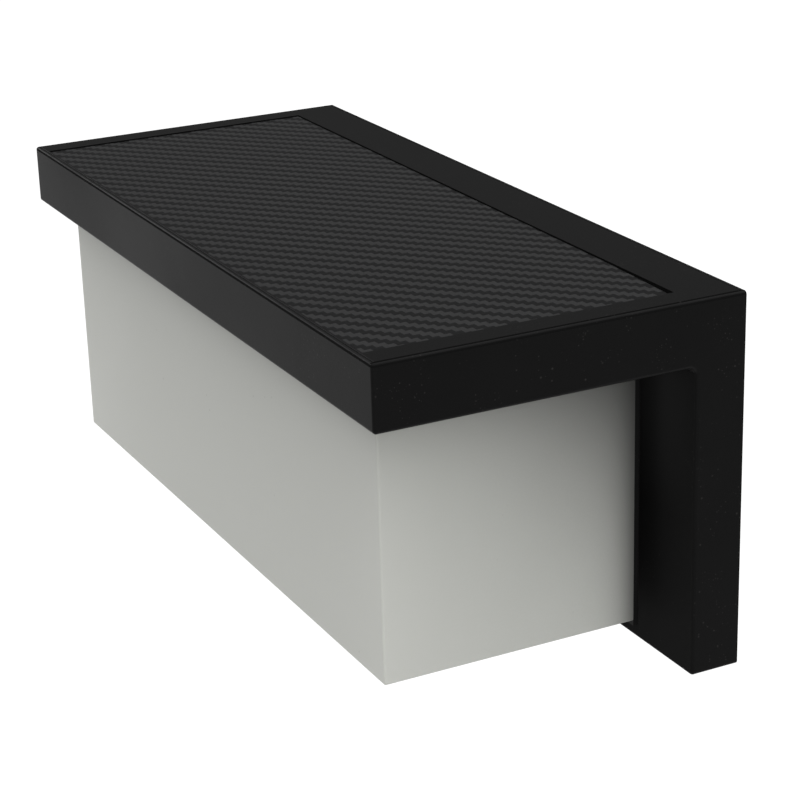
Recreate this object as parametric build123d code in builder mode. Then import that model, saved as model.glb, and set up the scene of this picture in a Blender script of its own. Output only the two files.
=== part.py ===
"""Solar wall light: an L-shaped lamp that hangs on a pressed steel wall bracket.

Millimetres. The wall is the plane y = 0 and the lamp stands out of it towards -Y.
X runs along the wall, Z is up, and the origin is midway between the bracket's two screw holes.
Distances from the wall are positive numbers, and a place that far out has y = -distance.
"""
import os

from build123d import *

# Lamp, overall
lamp_width = 220.0
lamp_depth = 95.0
lamp_height = 94.5
slab_thickness = 16.2
plate_thickness = 13.2
mount_height = 56.0
wall_gap = 0.3

# Housing moulding
wall = 2.0
ledge = 1.6
deck = 1.8
heel = 2.9
edge_radius = 0.9
shoulder_radius = 0.8
inner_corner_radius = 2.0
cover_corner_radius = 2.5
boss_radius = 3.0

# Clearances
fit_gap = 0.2
slide_gap = 0.3
thread_gap = 0.05
room = 1.0

# Top frame round the panel: its lip lies in a rebate of the housing's edge, with a fine groove round it
frame_inset = 1.05
frame_lip = 0.5
frame_proud = 0.1
frame_groove = 0.15
frame_edge_radius = 0.2
seam = 0.1

# Panel window and the stack in it, from the top down
side_rim = 7.7
back_rim = 14.6
front_rim = 1.6
film_setdown = 0.3
film_thickness = 0.3
film_trim_length = 32.0
film_trim_width = 0.9
cell_count = 11
cell_thickness = 0.3
cell_spacing = 1.0
cell_margin = 4.0
board_sheet = 1.6
tape_thickness = 0.5
tape_width = 6.0

# Soffit that closes the slab from below
soffit_thickness = 1.8
seal_thickness = 0.6
soffit_boss_height = 5.0
soffit_screw_inset = 12.0
soffit_screw_columns = 3

# Diffuser box and its black back
diffuser_end_inset = 12.6
diffuser_front_inset = 6.6
diffuser_drop = 66.8
diffuser_wall = 2.0
diffuser_radius = 0.6
diffuser_bottom_radius = 0.4
tab_width = 10.0
tab_spread = 32.0
front_tab_spread = 120.0
barb_reach = 0.8
barb_height = 1.2
back_gap = 6.9
back_thickness = 1.5
back_lip = 1.3
back_edge_radius = 0.3
spigot_wall = 1.5
spigot_depth = 3.0
flange_thickness = 2.0
flange_depth = 8.0

# Light source
reflector_thickness = 0.8
led_board_width = 24.0
led_board_end_room = 8.0
led_board_thickness = 1.2
led_columns = 10
led_rows = 2
led_pitch = 16.0
led_row_pitch = 14.0
led_length = 3.5
led_width = 2.8
led_height = 0.8
led_lens_radius = 1.1
led_lens_height = 0.15

# Rear cover and the pocket that hangs on the bracket
cover_thickness = 2.4
cover_screw_inset = 8.5
cover_screw_rows = 3
pocket_wall = 1.6
lip_thickness = 1.6
lift = 27.0

# Wall bracket
bracket_width = 76.0
bracket_height = 26.0
bracket_thickness = 1.2
bracket_corner_radius = 3.0
web_width = 56.0
joggle_run = 2.0
hole_spacing = 40.0
hole_radius = 2.5
screw_head_room = 3.8

# Battery
pouch_length = 44.0
pouch_height = 38.0
pouch_thickness = 5.5
pouch_radius = 2.0
pouch_tape_thickness = 0.8
pouch_tape_border = 4.0

# Control board
control_width = 40.0
control_height = 44.0
control_thickness = 1.2
control_screw_inset = 3.5
standoff_radius = 2.5
chip_length = 10.0
chip_width = 6.0
chip_height = 1.6
coil_size = 7.0
coil_height = 3.2
can_radius = 2.5
can_height = 3.5
plug_length = 7.0
plug_depth = 6.0
plug_height = 3.5

# Switch
button_radius = 2.8
button_setback = 0.2
button_flange = 1.0
button_travel = 1.2
plunger_radius = 1.2
plunger_height = 1.0
dish_radius = 4.8
dish_depth = 1.2
switch_length = 12.0
switch_height = 7.0

# Screws
shank_radius = 1.1
head_radius = 2.3
head_height = 1.3
head_edge_radius = 0.4
cross_length = 2.4
cross_width = 0.6
cross_depth = 0.7
tip_chamfer = 0.4
screw_bite = 4.0
board_bite = 3.0

# Leads
lead_radius = 0.7
lead_pitch = 2.0
lead_bend = 2.5
lead_pair_spread = 12.0
lead_overlap = 5.0
passage_height = 4.4
lead_hole_radius = 2.4
panel_lead_distance = 36.0
led_lead_distance = 52.0

# Levels and distances that follow from the sizes above
bottom = -mount_height
top = lamp_height - mount_height
under = top - slab_thickness
rear = wall_gap
front = rear + lamp_depth
plate_front = rear + plate_thickness
half_width = lamp_width / 2
shoulder = top - frame_proud
lip_seat = top - frame_lip - seam

panel_top = top - film_setdown - film_thickness - cell_thickness
panel_bottom = panel_top - board_sheet
recess_floor = panel_bottom - tape_thickness
ceiling = recess_floor - deck
soffit_top = under + soffit_thickness
soffit_near = plate_front + inner_corner_radius + heel

cavity_half = half_width - wall - ledge
cavity_low = bottom + wall + ledge
cavity_high = ceiling - ledge
cavity_front = plate_front - wall
cover_inside = rear + cover_thickness
cover_half = half_width - wall
cover_low = bottom + wall
cavity_middle = (cavity_low + cavity_high) / 2

diffuser_half = half_width - diffuser_end_inset
diffuser_front = front - diffuser_front_inset
back_near = plate_front + back_gap
diffuser_near = back_near + back_thickness
diffuser_bottom = under - diffuser_drop
diffuser_middle = (diffuser_near + diffuser_front) / 2
spigot_half = diffuser_half - diffuser_wall - slide_gap
flange_far = diffuser_near + flange_depth
led_board_top = under - reflector_thickness
led_board_bottom = led_board_top - led_board_thickness
led_board_half = spigot_half - led_board_end_room

bracket_half = bracket_width / 2
web_half = web_width / 2
joggle = wall_gap + lip_thickness + slide_gap
pocket_half = bracket_half + slide_gap
pocket_floor = bracket_thickness + screw_head_room
pocket_top = bracket_height / 2 + fit_gap
lip_bottom = bracket_height / 2 - lift + room
pocket_bottom = -bracket_height / 2 - lift - room

pocket_side = pocket_half + pocket_wall
boss_side = cover_half - cover_screw_inset - boss_radius
control_x = (pocket_side + boss_side) / 2
pouch_x = -control_x
pouch_near = cavity_front - pouch_tape_thickness - pouch_thickness
control_rear = cover_inside + room + plug_height
standoff = cavity_front - control_rear - control_thickness
control_top = cavity_middle + control_height / 2
control_low = cavity_middle - control_height / 2
plug_middle = control_rear - plug_height / 2

button_floor = cavity_low + fit_gap
button_flange_top = button_floor + button_flange
switch_low = button_flange_top + button_travel + slide_gap
switch_distance = (cover_inside + cavity_front) / 2
switch_near = cover_inside + fit_gap
button_flange_radius = cavity_front - switch_distance - slide_gap
panel_lead_x = control_x - lead_pair_spread / 2
led_lead_x = control_x + lead_pair_spread / 2
lead_level = (soffit_top + seal_thickness + ceiling) / 2
passage_width = lead_pair_spread + 2 * lead_hole_radius

# Places of the screws, clips and lead pairs, as seen from above or along the wall's normal
column_step = 2 * (diffuser_half - soffit_screw_inset) / (soffit_screw_columns - 1)
soffit_columns = [column_step * (i - (soffit_screw_columns - 1) / 2) for i in range(soffit_screw_columns)]
soffit_rows = [flange_far + boss_radius + room, diffuser_front - soffit_screw_inset]
soffit_points = [(x, -distance) for x in soffit_columns for distance in soffit_rows]

led_screw_half = led_board_half - led_board_end_room / 2
led_screw_points = [(x, -diffuser_middle) for x in (-led_screw_half, 0, led_screw_half)]
back_screw_distance = flange_far - flange_depth / 2
back_screw_half = diffuser_half - soffit_screw_inset
back_screw_points = [(side * back_screw_half, -back_screw_distance) for side in (-1, 1)]

cover_columns = [-cover_half + cover_screw_inset, cover_half - cover_screw_inset]
cover_step = (ceiling - cover_low - 2 * cover_screw_inset) / (cover_screw_rows - 1)
cover_rows = [cover_low + cover_screw_inset + cover_step * i for i in range(cover_screw_rows)]
cover_points = [(x, z) for x in cover_columns for z in cover_rows]

control_reach_x = control_width / 2 - control_screw_inset
control_reach_z = control_height / 2 - control_screw_inset
control_points = [
    (control_x + side * control_reach_x, cavity_middle + rise * control_reach_z)
    for side in (-1, 1)
    for rise in (-1, 1)
]

tab_distances = [diffuser_middle - tab_spread / 2, diffuser_middle + tab_spread / 2]
tab_line = diffuser_half - diffuser_wall / 2
front_tab_line = diffuser_front - diffuser_wall / 2
tab_places = [
    *[Location((tab_line, -distance, 0), (0, 0, 90)) for distance in tab_distances],
    *[Location((-tab_line, -distance, 0), (0, 0, -90)) for distance in tab_distances],
    *[Location((side * front_tab_spread / 2, -front_tab_line, 0)) for side in (-1, 1)],
]

lead_pair = [-lead_pitch / 2, lead_pitch / 2]
os.makedirs("parts", exist_ok=True)


def level(height):
    """A level plane at this height, facing up."""
    return Plane.XY.offset(height)


def from_wall(distance):
    """A plane along the wall, this far out of it, facing away from it."""
    return Plane.XZ.offset(distance)


def plan_area(half, near, far, radius=0.0, mode=Mode.ADD):
    """A rectangle seen from above, between two distances from the wall."""
    with Locations((0, -(near + far) / 2)):
        if radius:
            RectangleRounded(2 * half, far - near, radius, mode=mode)
        else:
            Rectangle(2 * half, far - near, mode=mode)


def wall_area(half, low, high, radius=0.0, mode=Mode.ADD):
    """A rectangle seen along the wall's normal, between two heights."""
    with Locations((0, (low + high) / 2)):
        if radius:
            RectangleRounded(2 * half, high - low, radius, mode=mode)
        else:
            Rectangle(2 * half, high - low, mode=mode)


def screw(length):
    """A self-tapping screw with its head's seat at the origin and its shank along +Z."""
    with BuildPart() as piece:
        with BuildSketch():
            Circle(shank_radius)
        extrude(amount=length)
        chamfer(piece.faces().sort_by(Axis.Z)[-1].edges(), tip_chamfer)
        with BuildSketch():
            Circle(head_radius)
        extrude(amount=-head_height)
        fillet(piece.faces().sort_by(Axis.Z)[0].edges(), head_edge_radius)
        with BuildSketch(level(-head_height)):
            Rectangle(cross_length, cross_width)
            Rectangle(cross_width, cross_length)
        extrude(amount=cross_depth, mode=Mode.SUBTRACT)
    return piece.part


def lead(points):
    """One insulated wire along straight runs joined by round bends."""
    with BuildPart() as wire:
        with BuildLine() as route:
            FilletPolyline(*points, radius=lead_bend)
        with BuildSketch(Plane(origin=route.line @ 0, z_dir=route.line % 0)):
            Circle(lead_radius)
        sweep()
    return wire.part


# Housing: one black moulding, the top slab and the back plate, open below and behind
with BuildPart() as housing:
    with BuildSketch(Plane.YZ):
        with BuildLine():
            Polyline(
                (-rear, bottom),
                (-rear, shoulder),
                (-front, shoulder),
                (-front, under),
                (-plate_front, under),
                (-plate_front, bottom),
                close=True,
            )
        make_face()
    extrude(amount=half_width, both=True)
    under_edges = housing.edges().filter_by(Axis.X).filter_by_position(Axis.Z, under, under)
    fillet(under_edges.sort_by(Axis.Y)[-1], inner_corner_radius)
    long_edges = housing.edges().filter_by(Axis.X)
    lower_front_edge = long_edges.group_by(Axis.Y)[0].sort_by(Axis.Z)[0]
    foot_edge = long_edges.group_by(Axis.Z)[0].sort_by(Axis.Y)[0]
    end_edges = housing.faces().filter_by(Axis.X).edges()
    rim_edges = end_edges.filter_by(lambda edge: edge.center().Y < -rear - edge_radius)
    rim_edges = rim_edges.filter_by(lambda edge: edge.center().Z < shoulder - edge_radius)
    fillet([lower_front_edge, foot_edge, *rim_edges], edge_radius)
    shoulder_edges = housing.faces().sort_by(Axis.Z)[-1].edges()
    fillet(shoulder_edges.filter_by(lambda edge: edge.center().Y < -rear), shoulder_radius)

    # Slab: the soffit's rebate, then the space above it
    with BuildSketch(level(under)):
        plan_area(half_width - wall, soffit_near, front - wall, cover_corner_radius)
    extrude(amount=soffit_thickness + seal_thickness, mode=Mode.SUBTRACT)
    with BuildSketch(level(under)):
        plan_area(cavity_half, soffit_near + ledge, front - wall - ledge)
    extrude(amount=ceiling - under, mode=Mode.SUBTRACT)

    # Back plate: the rear cover's rebate, then the space in front of it
    with BuildSketch(from_wall(rear)):
        wall_area(cover_half, cover_low, ceiling, cover_corner_radius)
    extrude(amount=cover_thickness + seal_thickness, mode=Mode.SUBTRACT)
    with BuildSketch(from_wall(rear)):
        wall_area(cavity_half, cavity_low, cavity_high)
    extrude(amount=cavity_front - rear, mode=Mode.SUBTRACT)

    # Rebate for the top frame's lip, with the groove round it
    with BuildSketch(level(lip_seat)):
        plan_area(
            half_width - frame_inset + frame_groove,
            rear + frame_inset - frame_groove,
            front - frame_inset + frame_groove,
        )
    extrude(amount=shoulder - lip_seat, mode=Mode.SUBTRACT)

    # Seat for the top frame and the panel, the passage for the leads and the hole under the panel
    with BuildSketch(level(recess_floor)):
        plan_area(half_width - wall, rear + wall, front - front_rim)
    extrude(amount=shoulder - recess_floor, mode=Mode.SUBTRACT)
    with BuildSketch(from_wall(cavity_front)):
        with Locations((control_x, lead_level)):
            SlotOverall(passage_width, passage_height)
    extrude(amount=soffit_near + ledge - cavity_front, mode=Mode.SUBTRACT)
    with BuildSketch(level(ceiling)):
        with Locations((panel_lead_x, -panel_lead_distance)):
            Circle(lead_hole_radius)
    extrude(amount=deck, mode=Mode.SUBTRACT)

    # Screw bosses under the deck, behind the plate and under the control board
    with BuildSketch(level(soffit_top)):
        with Locations(*soffit_points):
            Circle(boss_radius)
            Circle(shank_radius + thread_gap, mode=Mode.SUBTRACT)
    extrude(amount=ceiling - soffit_top)
    with BuildSketch(from_wall(cover_inside)):
        with Locations(*cover_points):
            Circle(boss_radius)
            Circle(shank_radius + thread_gap, mode=Mode.SUBTRACT)
    extrude(amount=cavity_front - cover_inside)
    with BuildSketch(from_wall(cavity_front - standoff)):
        with Locations(*control_points):
            Circle(standoff_radius)
    extrude(amount=standoff)
    with BuildSketch(from_wall(cavity_front - standoff)):
        with Locations(*control_points):
            Circle(shank_radius + thread_gap)
    extrude(amount=board_bite + thread_gap, mode=Mode.SUBTRACT)

    # Finger dish and hole for the button in the plate's lower edge
    with BuildSketch(level(bottom)):
        with Locations((control_x, -switch_distance)):
            Circle(dish_radius)
    extrude(amount=dish_depth, mode=Mode.SUBTRACT)
    with BuildSketch(level(bottom)):
        with Locations((control_x, -switch_distance)):
            Circle(button_radius + slide_gap)
    extrude(amount=wall + ledge, mode=Mode.SUBTRACT)
housing.part.label = "housing"
export_step(housing.part, "parts/housing.step")

# Top frame: black moulding inlaid in the housing's edge, with the window that the panel shows through
with BuildPart() as top_frame:
    with BuildSketch(level(top - frame_lip)):
        plan_area(half_width - frame_inset, rear + frame_inset, front - frame_inset)
    extrude(amount=frame_lip)
    lip_edges = top_frame.faces().sort_by(Axis.Z)[-1].edges()
    fillet(lip_edges, frame_edge_radius)
    with BuildSketch(level(recess_floor)):
        plan_area(half_width - wall - fit_gap, rear + wall + fit_gap, front - front_rim)
    extrude(amount=top - frame_lip - recess_floor)
    with BuildSketch(level(recess_floor)):
        plan_area(half_width - side_rim, rear + back_rim, front - front_rim)
    extrude(amount=top - recess_floor, mode=Mode.SUBTRACT)
top_frame.part.label = "top_frame"
export_step(top_frame.part, "parts/top_frame.step")

# Foam tape: a ring that beds the panel on the recess floor
recess_half = half_width - side_rim - fit_gap
recess_near = rear + back_rim + fit_gap
recess_far = front - front_rim - fit_gap
with BuildPart() as panel_tape:
    with BuildSketch(level(recess_floor)):
        plan_area(recess_half, recess_near, recess_far)
        plan_area(
            recess_half - tape_width,
            recess_near + tape_width,
            recess_far - tape_width,
            mode=Mode.SUBTRACT,
        )
    extrude(amount=tape_thickness)
panel_tape.part.label = "panel_tape"
export_step(panel_tape.part, "parts/panel_tape.step")

# Solar panel: a stiff board with one row of cells
with BuildPart() as panel_board:
    with BuildSketch(level(panel_bottom)):
        plan_area(recess_half, recess_near, recess_far)
    extrude(amount=board_sheet)
panel_board.part.label = "panel_board"
export_step(panel_board.part, "parts/panel_board.step")

cell_pitch = (2 * (recess_half - cell_margin) + cell_spacing) / cell_count
cell_depth = recess_far - recess_near - 2 * cell_margin
with BuildPart() as solar_cells:
    with BuildSketch(level(panel_top)):
        with Locations((0, -(recess_near + recess_far) / 2)):
            with GridLocations(cell_pitch, cell_depth, cell_count, 1):
                Rectangle(cell_pitch - cell_spacing, cell_depth)
    extrude(amount=cell_thickness)
solar_cells.part.label = "solar_cells"
export_step(solar_cells.part, "parts/solar_cells.step")

# Carbon-look film over the cells, trimmed a little short along its back right edge
with BuildPart() as carbon_film:
    with BuildSketch(level(panel_top + cell_thickness)):
        with BuildLine():
            Polyline(
                (-recess_half, -recess_far),
                (recess_half, -recess_far),
                (recess_half, -recess_near - film_trim_width),
                (recess_half - film_trim_length, -recess_near),
                (-recess_half, -recess_near),
                close=True,
            )
        make_face()
    extrude(amount=film_thickness)
carbon_film.part.label = "carbon_film"
export_step(carbon_film.part, "parts/carbon_film.step")

# Soffit: flush plate that closes the slab, with bosses on top for the screws of the light source
soffit_half = half_width - wall - fit_gap
soffit_far = front - wall - fit_gap
with BuildPart() as soffit_plate:
    with BuildSketch(level(under)):
        plan_area(soffit_half, soffit_near + fit_gap, soffit_far, cover_corner_radius)
    extrude(amount=soffit_thickness)
    with BuildSketch(level(soffit_top)):
        with Locations(*led_screw_points, *back_screw_points):
            Circle(boss_radius)
    extrude(amount=soffit_boss_height)
    with BuildSketch(level(under)):
        with Locations(*led_screw_points, *back_screw_points, *soffit_points):
            Circle(shank_radius + thread_gap)
    extrude(amount=soffit_thickness + soffit_boss_height, mode=Mode.SUBTRACT)
    with BuildSketch(level(under)):
        with Locations((led_lead_x, -led_lead_distance)):
            Circle(lead_hole_radius)
        with Locations(*tab_places):
            with Locations((0, barb_reach / 2)):
                Rectangle(tab_width + 2 * slide_gap, diffuser_wall + barb_reach + 2 * slide_gap)
    extrude(amount=soffit_thickness, mode=Mode.SUBTRACT)
soffit_plate.part.label = "soffit_plate"
export_step(soffit_plate.part, "parts/soffit_plate.step")

# Flat rubber seal between the soffit's border and the ledge above it
with BuildPart() as soffit_seal:
    with BuildSketch(level(soffit_top)):
        plan_area(soffit_half, soffit_near + fit_gap, soffit_far, cover_corner_radius)
        plan_area(
            cavity_half + fit_gap,
            soffit_near + ledge - fit_gap,
            front - wall - ledge + fit_gap,
            mode=Mode.SUBTRACT,
        )
    extrude(amount=seal_thickness)
soffit_seal.part.label = "soffit_seal"
export_step(soffit_seal.part, "parts/soffit_seal.step")

soffit_screw = screw(soffit_thickness + screw_bite)
with BuildPart(level(under)) as soffit_screws:
    with Locations(*soffit_points):
        add(soffit_screw)
soffit_screws.part.label = "soffit_screws"
export_step(soffit_screws.part, "parts/soffit_screws.step")

# Diffuser: opal box, open above and behind, clipped through the soffit by barbed tabs
with BuildPart() as diffuser:
    with BuildSketch(level(under)):
        plan_area(diffuser_half, diffuser_near, diffuser_front)
    extrude(amount=-diffuser_drop)
    fillet(diffuser.edges().filter_by(Axis.Z).group_by(Axis.Y)[0], diffuser_radius)
    lower_edges = diffuser.faces().sort_by(Axis.Z)[0].edges()
    fillet(lower_edges.filter_by(lambda edge: edge.center().Y < -diffuser_near), diffuser_bottom_radius)
    with BuildSketch(level(under)):
        plan_area(diffuser_half - diffuser_wall, diffuser_near, diffuser_front - diffuser_wall)
    extrude(amount=diffuser_wall - diffuser_drop, mode=Mode.SUBTRACT)
    inner_edges = diffuser.edges().filter_by(Axis.Z).filter_by_position(
        Axis.Y, diffuser_wall - diffuser_front, diffuser_wall - diffuser_front
    )
    fillet(inner_edges, max(diffuser_radius - diffuser_wall, edge_radius))
    with BuildSketch(level(under)):
        with Locations(*tab_places):
            Rectangle(tab_width, diffuser_wall)
    extrude(amount=soffit_thickness + fit_gap + barb_height)
    with BuildSketch(level(soffit_top + fit_gap)):
        with Locations(*tab_places):
            with Locations((0, barb_reach / 2)):
                Rectangle(tab_width, diffuser_wall + barb_reach)
    extrude(amount=barb_height)
diffuser.part.label = "diffuser"
export_step(diffuser.part, "parts/diffuser.step")

# Black back of the diffuser: a plate with a spigot inside the box and a flange screwed to the soffit
spigot_low = diffuser_bottom + diffuser_wall + slide_gap
with BuildPart() as diffuser_back:
    with BuildSketch(from_wall(back_near)):
        wall_area(diffuser_half, diffuser_bottom - back_lip, under)
    extrude(amount=back_thickness)
    fillet(diffuser_back.faces().sort_by(Axis.Y)[-1].edges(), back_edge_radius)
    with BuildSketch(from_wall(diffuser_near)):
        wall_area(spigot_half, spigot_low, under)
        wall_area(spigot_half - spigot_wall, spigot_low + spigot_wall, under, mode=Mode.SUBTRACT)
    extrude(amount=spigot_depth)
    with BuildSketch(level(under)):
        plan_area(spigot_half, diffuser_near, flange_far)
    extrude(amount=-flange_thickness)
    with BuildSketch(level(under)):
        with Locations(*back_screw_points):
            Circle(shank_radius + thread_gap)
    extrude(amount=-flange_thickness, mode=Mode.SUBTRACT)
diffuser_back.part.label = "diffuser_back"
export_step(diffuser_back.part, "parts/diffuser_back.step")

back_screw = screw(flange_thickness + screw_bite)
with BuildPart(level(under - flange_thickness)) as diffuser_back_screws:
    with Locations(*back_screw_points):
        add(back_screw)
diffuser_back_screws.part.label = "diffuser_back_screws"
export_step(diffuser_back_screws.part, "parts/diffuser_back_screws.step")

# White reflector sheet against the soffit, with holes round the screws and the leads
with BuildPart() as reflector:
    with BuildSketch(level(under)):
        plan_area(spigot_half - slide_gap, flange_far + slide_gap, diffuser_front - diffuser_wall - room)
        with Locations(*soffit_points):
            Circle(head_radius + slide_gap, mode=Mode.SUBTRACT)
        with Locations(*led_screw_points):
            Circle(shank_radius + thread_gap, mode=Mode.SUBTRACT)
        with Locations((led_lead_x, -led_lead_distance)):
            Circle(lead_hole_radius, mode=Mode.SUBTRACT)
    extrude(amount=-reflector_thickness)
reflector.part.label = "reflector"
export_step(reflector.part, "parts/reflector.step")

# LED board, its LEDs and its screws
with BuildPart() as led_board:
    with BuildSketch(level(led_board_top)):
        with Locations((0, -diffuser_middle)):
            RectangleRounded(2 * led_board_half, led_board_width, cover_corner_radius)
        with Locations(*led_screw_points):
            Circle(shank_radius + thread_gap, mode=Mode.SUBTRACT)
    extrude(amount=-led_board_thickness)
led_board.part.label = "led_board"
export_step(led_board.part, "parts/led_board.step")

with BuildPart() as leds:
    with BuildSketch(level(led_board_bottom)):
        with Locations((0, -diffuser_middle)):
            with GridLocations(led_pitch, led_row_pitch, led_columns, led_rows):
                Rectangle(led_length, led_width)
    extrude(amount=-led_height)
    with BuildSketch(level(led_board_bottom - led_height)):
        with Locations((0, -diffuser_middle)):
            with GridLocations(led_pitch, led_row_pitch, led_columns, led_rows):
                Circle(led_lens_radius)
    extrude(amount=-led_lens_height)
leds.part.label = "leds"
export_step(leds.part, "parts/leds.step")

led_screw = screw(led_board_thickness + reflector_thickness + screw_bite)
with BuildPart(level(led_board_bottom)) as led_board_screws:
    with Locations(*led_screw_points):
        add(led_screw)
led_board_screws.part.label = "led_board_screws"
export_step(led_board_screws.part, "parts/led_board_screws.step")

# Battery: a flat lithium pouch taped to the inside of the back plate
with BuildPart() as battery_tape:
    with BuildSketch(from_wall(cavity_front - pouch_tape_thickness)):
        with Locations((pouch_x, cavity_middle)):
            Rectangle(pouch_length - 2 * pouch_tape_border, pouch_height - 2 * pouch_tape_border)
    extrude(amount=pouch_tape_thickness)
battery_tape.part.label = "battery_tape"
export_step(battery_tape.part, "parts/battery_tape.step")

with BuildPart() as battery_pouch:
    with BuildSketch(from_wall(pouch_near)):
        with Locations((pouch_x, cavity_middle)):
            Rectangle(pouch_length, pouch_height)
    extrude(amount=pouch_thickness)
    fillet(battery_pouch.edges().filter_by(Axis.Z), pouch_radius)
battery_pouch.part.label = "battery_pouch"
export_step(battery_pouch.part, "parts/battery_pouch.step")

# Control board on four standoffs, with its parts facing the rear cover
with BuildPart() as control_board:
    with BuildSketch(from_wall(control_rear)):
        with Locations((control_x, cavity_middle)):
            Rectangle(control_width, control_height)
        with Locations(*control_points):
            Circle(shank_radius + thread_gap, mode=Mode.SUBTRACT)
    extrude(amount=control_thickness)
control_board.part.label = "control_board"
export_step(control_board.part, "parts/control_board.step")

with BuildPart() as board_parts:
    with BuildSketch(from_wall(control_rear)):
        with Locations((control_x, cavity_middle + chip_width)):
            Rectangle(chip_length, chip_width)
    extrude(amount=-chip_height)
    with BuildSketch(from_wall(control_rear)):
        with Locations((control_x + chip_length, cavity_middle - coil_size)):
            RectangleRounded(coil_size, coil_size, edge_radius)
    extrude(amount=-coil_height)
    with BuildSketch(from_wall(control_rear)):
        with Locations((control_x - can_radius, cavity_middle - coil_size)):
            Circle(can_radius)
    extrude(amount=-can_height)
board_parts.part.label = "board_parts"
export_step(board_parts.part, "parts/board_parts.step")

# Lead plugs: panel and lights at the board's upper edge, switch at its lower
upper_plug = control_top - plug_depth / 2
with BuildPart() as board_plugs:
    with BuildSketch(from_wall(control_rear)):
        with Locations((panel_lead_x, upper_plug), (led_lead_x, upper_plug)):
            Rectangle(plug_length, plug_depth)
        with Locations((control_x, control_low + plug_depth / 2)):
            Rectangle(plug_length, plug_depth)
    extrude(amount=-plug_height)
board_plugs.part.label = "board_plugs"
export_step(board_plugs.part, "parts/board_plugs.step")

board_screw = screw(control_thickness + board_bite)
with BuildPart(from_wall(control_rear)) as board_screws:
    with Locations(*control_points):
        add(board_screw)
board_screws.part.label = "board_screws"
export_step(board_screws.part, "parts/board_screws.step")

# Switch body behind the front of the plate, and the button under it
with BuildPart() as switch_body:
    with BuildSketch(level(switch_low)):
        with Locations((control_x, -(switch_near + cavity_front) / 2)):
            Rectangle(switch_length, cavity_front - switch_near)
    extrude(amount=switch_height)
    with BuildSketch(level(switch_low)):
        with Locations((control_x, -switch_distance)):
            Circle(plunger_radius + slide_gap)
    extrude(amount=plunger_height + slide_gap, mode=Mode.SUBTRACT)
switch_body.part.label = "switch_body"
export_step(switch_body.part, "parts/switch_body.step")

with BuildPart() as switch_button:
    with BuildSketch(level(bottom + button_setback)):
        with Locations((control_x, -switch_distance)):
            Circle(button_radius)
    extrude(amount=button_flange_top - bottom - button_setback)
    fillet(switch_button.faces().sort_by(Axis.Z)[0].edges(), head_edge_radius)
    with BuildSketch(level(button_floor)):
        with Locations((control_x, -switch_distance)):
            Circle(button_flange_radius)
    extrude(amount=button_flange)
    with BuildSketch(level(button_flange_top)):
        with Locations((control_x, -switch_distance)):
            Circle(plunger_radius)
    extrude(amount=plunger_height)
switch_button.part.label = "switch_button"
export_step(switch_button.part, "parts/switch_button.step")

# Leads: panel to board, board to lights, battery to the board's front, switch to board
with BuildPart() as panel_leads:
    for shift in lead_pair:
        x = panel_lead_x + shift
        add(lead([
            (x, -panel_lead_distance, panel_bottom),
            (x, -panel_lead_distance, lead_level),
            (x, -plug_middle, lead_level),
            (x, -plug_middle, control_top),
        ]))
panel_leads.part.label = "panel_leads"
export_step(panel_leads.part, "parts/panel_leads.step")

with BuildPart() as led_leads:
    for shift in lead_pair:
        x = led_lead_x + shift
        add(lead([
            (x, -led_lead_distance, led_board_top),
            (x, -led_lead_distance, lead_level),
            (x, -plug_middle, lead_level),
            (x, -plug_middle, control_top),
        ]))
led_leads.part.label = "led_leads"
export_step(led_leads.part, "parts/led_leads.step")

battery_lead_y = -(control_rear + control_thickness + lead_radius)
battery_lead_start = pouch_x + pouch_length / 2
battery_lead_end = control_x - control_width / 2 + lead_overlap
with BuildPart() as battery_leads:
    with BuildSketch(Plane.YZ.offset(battery_lead_start)):
        with Locations(*[(battery_lead_y, cavity_middle + shift) for shift in lead_pair]):
            Circle(lead_radius)
    extrude(amount=battery_lead_end - battery_lead_start)
battery_leads.part.label = "battery_leads"
export_step(battery_leads.part, "parts/battery_leads.step")

switch_top = switch_low + switch_height
with BuildPart() as switch_leads:
    with BuildSketch(level(switch_top)):
        with Locations(*[(control_x + shift, -plug_middle) for shift in lead_pair]):
            Circle(lead_radius)
    extrude(amount=control_low - switch_top)
switch_leads.part.label = "switch_leads"
export_step(switch_leads.part, "parts/switch_leads.step")

# Rear cover: flush plate with a pocket; the upper half of the pocket has lips that hook the bracket
with BuildPart() as rear_cover:
    with BuildSketch(from_wall(rear)):
        wall_area(cover_half - fit_gap, cover_low + fit_gap, ceiling - fit_gap, cover_corner_radius)
    extrude(amount=cover_thickness)
    with BuildSketch(from_wall(rear)):
        wall_area(pocket_half + pocket_wall, pocket_bottom - pocket_wall, pocket_top + pocket_wall)
    extrude(amount=pocket_floor + pocket_wall - rear)
    with BuildSketch(from_wall(rear)):
        wall_area(pocket_half, pocket_bottom, lip_bottom)
        wall_area(web_half + joggle_run + slide_gap, lip_bottom, pocket_top)
    extrude(amount=pocket_floor - rear, mode=Mode.SUBTRACT)
    with BuildSketch(from_wall(rear + lip_thickness)):
        wall_area(pocket_half, pocket_bottom, pocket_top)
    extrude(amount=pocket_floor - rear - lip_thickness, mode=Mode.SUBTRACT)
    with BuildSketch(from_wall(rear)):
        with Locations(*cover_points):
            Circle(head_radius + fit_gap)
    extrude(amount=head_height + thread_gap, mode=Mode.SUBTRACT)
    with BuildSketch(from_wall(rear)):
        with Locations(*cover_points):
            Circle(shank_radius + thread_gap)
    extrude(amount=cover_thickness, mode=Mode.SUBTRACT)
rear_cover.part.label = "rear_cover"
export_step(rear_cover.part, "parts/rear_cover.step")

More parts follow.
